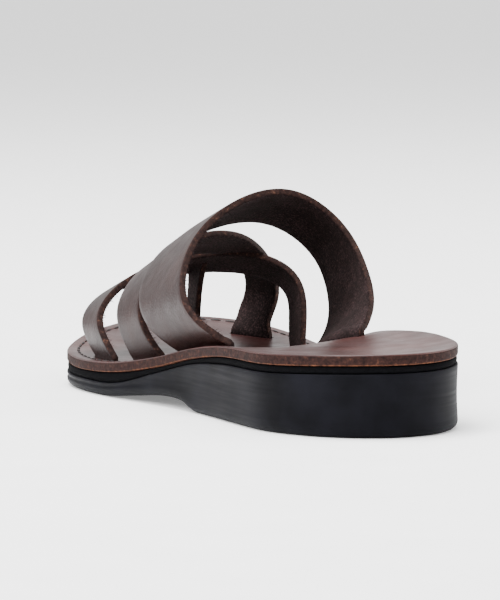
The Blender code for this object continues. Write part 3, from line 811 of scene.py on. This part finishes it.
def strapSolid(name, rows, thickness, columns, outward, seed):
    # rounded section swept along the sheet: grain outside 0, suede inside 1, cut edges between 2
    rows = refined(rows, columns)
    normals = sheetNormals(rows) * outward
    half = thickness / 2
    a, b = strap["grainRound"], strap["fleshRound"]
    frontLevels = [(half - a) * (1 - share) + (b - half) * share for share in (0.34, 0.67)]
    rearLevels = [(b - half) * (1 - share) + (half - a) * share for share in (0.34, 0.67)]
    kinds = ([0] * (columns - 1) + [0, 0, 2, 2, 2, 2, 2, 1, 1]
             + [1] * (columns - 1) + [1, 2, 2, 2, 2, 2, 2, 0, 0])
    vertices, count = [], len(kinds)
    for row, normal in zip(rows, normals):
        rear, front = row[0] - row[1], row[-1] - row[-2]
        rear, front = rear / np.linalg.norm(rear), front / np.linalg.norm(front)
        rearFray = strap["fray"] * wander(row[0], strap["frayMm"], seed + 5)
        frontFray = strap["fray"] * wander(row[-1], strap["frayMm"], seed)
        vertices += list((row + normal * half)[1:-1])
        vertices += corner(row[-1], front, normal[-1], half, a, (0, 30, 60, 90))
        vertices += [row[-1] + normal[-1] * level for level in frontLevels]
        vertices += corner(row[-1], front, -normal[-1], half, b, (90, 45, 0), frontFray)
        vertices += list((row - normal * half)[-2:0:-1])
        vertices += corner(row[0], rear, -normal[0], half, b, (0, 45, 90), rearFray)
        vertices += [row[0] + normal[0] * level for level in rearLevels]
        vertices += corner(row[0], rear, normal[0], half, a, (90, 60, 30, 0))
    faces, index = [], []
    for i in range(len(rows) - 1):
        for k in range(count):
            p, q = i * count + k, i * count + (k + 1) % count
            faces.append((p, q, q + count, p + count))
            index.append(kinds[k])
    faces += [tuple(range(count)), tuple(range((len(rows) - 1) * count, len(rows) * count))]
    index += [2, 2]
    return meshObject(name, vertices, faces, [grainFinish, suedeFinish, strapEdgeFinish], index)


sheets = {name: strapSheet(name) for name in ("band", "rear", "front")}
sheets["toe"] = toeStrapSheet()
# columns across, side of the grain, and seed of the frayed edge stand last
band = strapSolid("instepBand", sheets["band"], strap["thickness"], 14, 1.0, 1)
rearStrap = strapSolid("rearToeStrap", sheets["rear"], strap["thickness"], 10, 1.0, 2)
frontStrap = strapSolid("frontToeStrap", sheets["front"], strap["thickness"], 10, 1.0, 3)
toeLoop = strapSolid("toeDividerStrap", sheets["toe"], strap["toeThickness"], 8, -1.0, 4)
print("straps drawn")

insoleBoard = insoleBody()
cutters = []
for name in ("band", "rear", "front"):
    sheet = sheets[name]
    normals = sheetNormals(sheet)
    for label, at in (("Lateral", 2), ("Medial", -3)):
        cutters.append(cutterBlock(name + label + "Slot", sheet[at].copy(), levelled(normals[at]),
                                   strap["thickness"] / 2 + strap["slotClearance"]))
toeRow = sheets["toe"][2].copy()
cutters.append(cutterBlock("toeSlot", toeRow, np.array([[1.0, 0.0, 0.0]] * len(toeRow)),
                           strap["toeThickness"] / 2 + strap["slotClearance"]))
cutSlots(insoleBoard, cutters)
midsoleSheet = midsoleBody()
outsoleUnit = outsoleBody()
print("sole layers drawn")


# Stitches, fibres and studs, with Geometry Nodes.
def nodeGroup(name, inputs):
    tree = bpy.data.node_groups.new(name, "GeometryNodeTree")
    tree.interface.new_socket("Geometry", in_out="INPUT", socket_type="NodeSocketGeometry")
    for label, kind, value in inputs:
        socket = tree.interface.new_socket(label, in_out="INPUT", socket_type=kind)
        socket.default_value = value
    tree.interface.new_socket("Geometry", in_out="OUTPUT", socket_type="NodeSocketGeometry")
    return tree, addNode(tree, "NodeGroupInput"), addNode(tree, "NodeGroupOutput")


def runNodes(made, tree, values):
    modifier = made.modifiers.new(tree.name, "NODES")
    modifier.node_group = tree
    for item in tree.interface.items_tree:
        if item.in_out == "INPUT" and item.name in values:
            modifier[item.identifier] = values[item.name]
    return baked(made)


def evenPoints(tree, source, label):
    path = addNode(tree, "GeometryNodeMeshToCurve", links={"Mesh": source.outputs["Geometry"]})
    return addNode(tree, "GeometryNodeResampleCurve", {"mode": "LENGTH"}, {
        "Curve": path.outputs["Curve"], "Length": source.outputs[label]}).outputs["Curve"]


def scatter(tree, result, finish, links):
    # an instance on every point, made real and given its material
    placed = addNode(tree, "GeometryNodeInstanceOnPoints", links=links)
    real = addNode(tree, "GeometryNodeRealizeInstances",
                   links={"Geometry": placed.outputs["Instances"]})
    dressed = addNode(tree, "GeometryNodeSetMaterial", {"Material": finish},
                      {"Geometry": real.outputs["Geometry"]})
    tree.links.new(dressed.outputs["Geometry"], result.inputs["Geometry"])
    return tree


# Drawn longer and thicker than real ones, so that they show.
stitches = {
    "pitch": 0.0056, "length": 0.0040, "radius": 0.00055, "bury": 0.00020, "tilt": 0.10, "seed": 11,
}


def stitchTree():
    tree, source, result = nodeGroup("stitchRow", [
        ("Pitch", "NodeSocketFloat", 0.005), ("Stitch Length", "NodeSocketFloat", 0.003),
        ("Thread Radius", "NodeSocketFloat", 0.0004), ("Tilt", "NodeSocketFloat", 0.1),
        ("Seed", "NodeSocketInt", 1)])
    tangent = addNode(tree, "GeometryNodeInputTangent")
    turn = addNode(tree, "FunctionNodeAlignRotationToVector", {"axis": "X"},
                   {"Vector": tangent.outputs["Tangent"]})
    sway = addNode(tree, "FunctionNodeRandomValue", {"data_type": "FLOAT"}, {
        "Seed": source.outputs["Seed"], "Max": source.outputs["Tilt"]})
    spin = addNode(tree, "ShaderNodeCombineXYZ", links={"Z": sway.outputs["Value"]})
    twist = addNode(tree, "FunctionNodeRotateRotation", {"rotation_space": "LOCAL"}, {
        "Rotation": turn.outputs["Rotation"], "Rotate By": spin.outputs["Vector"]})
    bead = addNode(tree, "GeometryNodeMeshUVSphere", {"Segments": 10, "Rings": 8, "Radius": 1.0})
    halfLength = addNode(tree, "ShaderNodeMath", {"operation": "MULTIPLY", 1: 0.5},
                         {0: source.outputs["Stitch Length"]})
    size = addNode(tree, "ShaderNodeCombineXYZ", links={
        "X": halfLength.outputs["Value"], "Y": source.outputs["Thread Radius"],
        "Z": source.outputs["Thread Radius"]})
    return scatter(tree, result, threadFinish, {
        "Points": evenPoints(tree, source, "Pitch"), "Instance": bead.outputs["Mesh"],
        "Rotation": twist.outputs["Rotation"], "Scale": size.outputs["Vector"]})


def stitchPath():
    loop = insetLoop(insole["stitchInset"])
    loop = np.array([p for p in loop if p[1] > insole["stitchFrom"]])
    start = int(np.argmax(np.linalg.norm(np.roll(loop, -1, axis=0) - loop, axis=1))) + 1
    loop = np.roll(loop, -start, axis=0)
    z = np.array([float(seatAt(x, y)) for x, y in loop]) - insole["grooveDepth"] + stitches["bury"]
    return np.column_stack([loop, z])


def lineObject(name, points):
    mesh = bpy.data.meshes.new(name)
    mesh.from_pydata([tuple(p) for p in np.asarray(points) - origin],
                     [(i, i + 1) for i in range(len(points) - 1)], [])
    return linked(name, mesh)


stitchRow = runNodes(lineObject("insoleStitches", stitchPath()), stitchTree(), {
    "Pitch": stitches["pitch"], "Stitch Length": stitches["length"],
    "Thread Radius": stitches["radius"], "Tilt": stitches["tilt"], "Seed": stitches["seed"]})
stitchRow.data.shade_smooth()


# Loose fibres at the suede side's cut edges, drawn thicker and fewer than real ones, to show.
fibres = {
    "spacing": 0.00045, "length": 0.0019, "radius": 0.00010, "spread": 0.8, "seed": 23,
    "shortest": 0.25,                       # share of the length
    "columns": 6, "bareRows": 8,            # of the sheet: columns, and rows left bare at each end
    "rise": 0.0003, "root": 0.0002, "droop": 0.5,   # over the suede, inside the edge, tilt down
}


def fibreTree():
    tree, source, result = nodeGroup("suedeFibres", [
        ("Spacing", "NodeSocketFloat", 0.0005), ("Fibre Length", "NodeSocketFloat", 0.001),
        ("Fibre Radius", "NodeSocketFloat", 0.00005), ("Spread", "NodeSocketFloat", 0.8),
        ("Seed", "NodeSocketInt", 1)])
    outward = addNode(tree, "GeometryNodeInputNamedAttribute", {
        "data_type": "FLOAT_VECTOR", "Name": "outward"})
    turn = addNode(tree, "FunctionNodeAlignRotationToVector", {"axis": "Z"},
                   {"Vector": outward.outputs["Attribute"]})
    swing = addNode(tree, "FunctionNodeRandomValue", {"data_type": "FLOAT_VECTOR"}, {
        "Seed": source.outputs["Seed"]})
    swing.inputs[0].default_value = (-1.0, -1.0, 0.0)
    swing.inputs[1].default_value = (1.0, 1.0, 0.0)
    swung = addNode(tree, "ShaderNodeVectorMath", {"operation": "SCALE"}, {
        0: swing.outputs[0], "Scale": source.outputs["Spread"]})
    twist = addNode(tree, "FunctionNodeRotateRotation", {"rotation_space": "LOCAL"}, {
        "Rotation": turn.outputs["Rotation"], "Rotate By": swung.outputs["Vector"]})
    hair = addNode(tree, "GeometryNodeMeshCone", {
        "fill_type": "NGON", "Vertices": 3, "Side Segments": 2,
        "Radius Top": 0.15, "Radius Bottom": 1.0, "Depth": 1.0})
    length = addNode(tree, "FunctionNodeRandomValue", {
        "data_type": "FLOAT", "Min": fibres["shortest"], "Max": 1.0})
    tree.links.new(source.outputs["Seed"], length.inputs["Seed"])
    tall = addNode(tree, "ShaderNodeMath", {"operation": "MULTIPLY"}, {
        0: source.outputs["Fibre Length"], 1: length.outputs[1]})
    size = addNode(tree, "ShaderNodeCombineXYZ", links={
        "X": source.outputs["Fibre Radius"], "Y": source.outputs["Fibre Radius"],
        "Z": tall.outputs["Value"]})
    return scatter(tree, result, suedeFinish, {
        "Points": evenPoints(tree, source, "Spacing"), "Instance": hair.outputs["Mesh"],
        "Rotation": twist.outputs["Rotation"], "Scale": size.outputs["Vector"]})


def fringe(name, sheet, seed):
    # fibres along the rear edge of a strap
    rows = refined(sheet, fibres["columns"])
    normals = sheetNormals(rows)[:, 0]
    out = rows[:, 0] - rows[:, 1]
    out /= np.linalg.norm(out, axis=1)[:, None]
    line = rows[:, 0] - normals * (strap["thickness"] / 2 - fibres["rise"]) - out * fibres["root"]
    keep = slice(fibres["bareRows"], -fibres["bareRows"])
    made = lineObject(name, line[keep])
    ways = made.data.attributes.new("outward", "FLOAT_VECTOR", "POINT")
    ways.data.foreach_set("vector", (out - normals * fibres["droop"])[keep].ravel())
    return runNodes(made, fibreTree(), {
        "Spacing": fibres["spacing"], "Fibre Length": fibres["length"],
        "Fibre Radius": fibres["radius"], "Spread": fibres["spread"],
        "Seed": fibres["seed"] + seed})


fringes = [
    fringe("bandRearFringe", sheets["band"], 1), fringe("rearStrapFringe", sheets["rear"], 2),
    fringe("frontStrapFringe", sheets["front"], 3),
]


def treadTree():
    tree, source, result = nodeGroup("treadStuds", [
        ("Stud Length", "NodeSocketFloat", 0.005), ("Stud Width", "NodeSocketFloat", 0.003),
        ("Stud Height", "NodeSocketFloat", 0.001), ("Sway", "NodeSocketFloat", 0.05),
        ("Seed", "NodeSocketInt", 1)])
    block = addNode(tree, "GeometryNodeMeshCone", {
        "fill_type": "NGON", "Vertices": 6, "Side Segments": 1,
        "Radius Top": 0.5, "Radius Bottom": 0.62, "Depth": 1.0})
    down = addNode(tree, "GeometryNodeTransform", {"Rotation": (math.pi, 0.0, 0.0)},
                   {"Geometry": block.outputs["Mesh"]})
    size = addNode(tree, "ShaderNodeCombineXYZ", links={
        "X": source.outputs["Stud Length"], "Y": source.outputs["Stud Width"],
        "Z": source.outputs["Stud Height"]})
    sway = addNode(tree, "FunctionNodeRandomValue", {"data_type": "FLOAT"}, {
        "Seed": source.outputs["Seed"], "Max": source.outputs["Sway"]})
    spin = addNode(tree, "ShaderNodeCombineXYZ", links={"Z": sway.outputs["Value"]})
    return scatter(tree, result, rubberFinish, {
        "Points": source.outputs["Geometry"], "Instance": down.outputs["Geometry"],
        "Rotation": spin.outputs["Vector"], "Scale": size.outputs["Vector"]})


def treadPoints():
    # staggered rows of places inside the rim, each stud's foot level with the rim
    points = []
    dx, dy = outsole["studPitch"]
    keep = outsole["land"] + outsole["studLength"] / 2 + outsole["studGap"]
    border = insetLoop(keep)
    half = len(border) // 2
    row, y = 0, heelBack + keep
    while y < toeFront - keep:
        low = float(np.interp(y, border[:half + 1, 1], border[:half + 1, 0]))
        high = float(np.interp(y, border[half:][::-1, 1], border[half:][::-1, 0]))
        x = math.ceil(low / dx) * dx + (dx / 2 if row % 2 else 0.0)
        while x < high:
            points.append((x, y, float(treadFloorAt(x, y)) + outsole["studLift"]))
            x += dx
        row, y = row + 1, y + dy
    return points


treadField = meshObject("treadStuds", treadPoints(), [], [])
treadField = runNodes(treadField, treadTree(), {
    "Stud Length": outsole["studLength"], "Stud Width": outsole["studWidth"],
    "Stud Height": outsole["treadDepth"], "Sway": 0.0, "Seed": outsole["studSeed"]})
print("stitches and tread laid")

# Pieces on the frame: object, node that it replaces, slot.
for piece, node, slotName in (
        (band, "upper", "upper"), (rearStrap, "upper", "upper"),
        (frontStrap, "upper", "upper"), (toeLoop, "upper", "upper"),
        (insoleBoard, "insole", "insole"), (midsoleSheet, "midsole", "midsole"),
        (outsoleUnit, "outsole", "outsole"), (stitchRow, None, None),
        (treadField, None, "outsole"), *((piece, None, "upper") for piece in fringes)):
    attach(piece, "root")
    if node:
        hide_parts(node)

studio = {
    "floorSize": 40.0, "floorColours": [(0.3, "#f4f4f4"), (0.7, "#f8f8f8")], "floorGlow": 0.25,
    "speckleMm": 25.0, "white": "#ffffff", "worldStrength": 1.45, "lightAim": (0.0, 0.0, 0.03),
    # name, place, size, power in watts
    "softboxes": [
        ("softboxLeft", (-1.6, -0.9, 1.5), 1.4, 60.0),
        ("softboxTop", (-0.30, 0.25, 2.2), 1.5, 125.0),
        ("softboxRight", (1.7, -0.2, 1.1), 1.0, 14.0),
    ],
    "cameraPlace": (-0.5252, -1.5466, 0.1636), "cameraAim": (-0.004, -0.004, 0.036), "lens": 278.0,
}


def turnTo(made, place, aim):
    made.location = place
    made.rotation_euler = (Vector(aim) - Vector(place)).to_track_quat("-Z", "Y").to_euler()


def makeStage():
    mesh = bpy.data.meshes.new("floor")
    s = studio["floorSize"]
    mesh.from_pydata([(-s, -s, 0), (s, -s, 0), (s, s, 0), (-s, s, 0)], [], [(0, 1, 2, 3)])
    # a smooth white sheet that glows a little, so that it stays near white
    made, tree, shader, place = newMaterial("litWhiteFloor", {
        "Roughness": 0.85, "Specular IOR Level": 0.2, "Emission Color": linear(studio["white"]),
        "Emission Strength": studio["floorGlow"]})
    paint(tree, shader, mottle(tree, place, studio["speckleMm"], 2.0), studio["floorColours"])
    mesh.materials.append(made)
    floor = linked("floor", mesh)
    floor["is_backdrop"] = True
    world = bpy.data.worlds.new("studio")
    world.use_nodes = True
    background = world.node_tree.nodes["Background"]
    background.inputs["Color"].default_value = linear(studio["white"])
    background.inputs["Strength"].default_value = studio["worldStrength"]
    bpy.context.scene.world = world
    for name, place, size, power in studio["softboxes"]:
        light = bpy.data.lights.new(name, "AREA")
        light.size, light.energy = size, power
        turnTo(linked(name, light), place, studio["lightAim"])


def makeCamera():
    data = bpy.data.cameras.new("photoCamera")
    data.lens, data.sensor_width = studio["lens"], 36.0
    camera = linked("photoCamera", data)
    turnTo(camera, studio["cameraPlace"], studio["cameraAim"])
    bpy.context.scene.camera = camera


makeStage()
makeCamera()
print("stage and camera set")

triangles = 0
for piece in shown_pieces():
    piece.data.calc_loop_triangles()
    triangles += len(piece.data.loop_triangles)
    print(piece.name, len(piece.data.loop_triangles), "triangles")
print("triangles in all:", triangles)
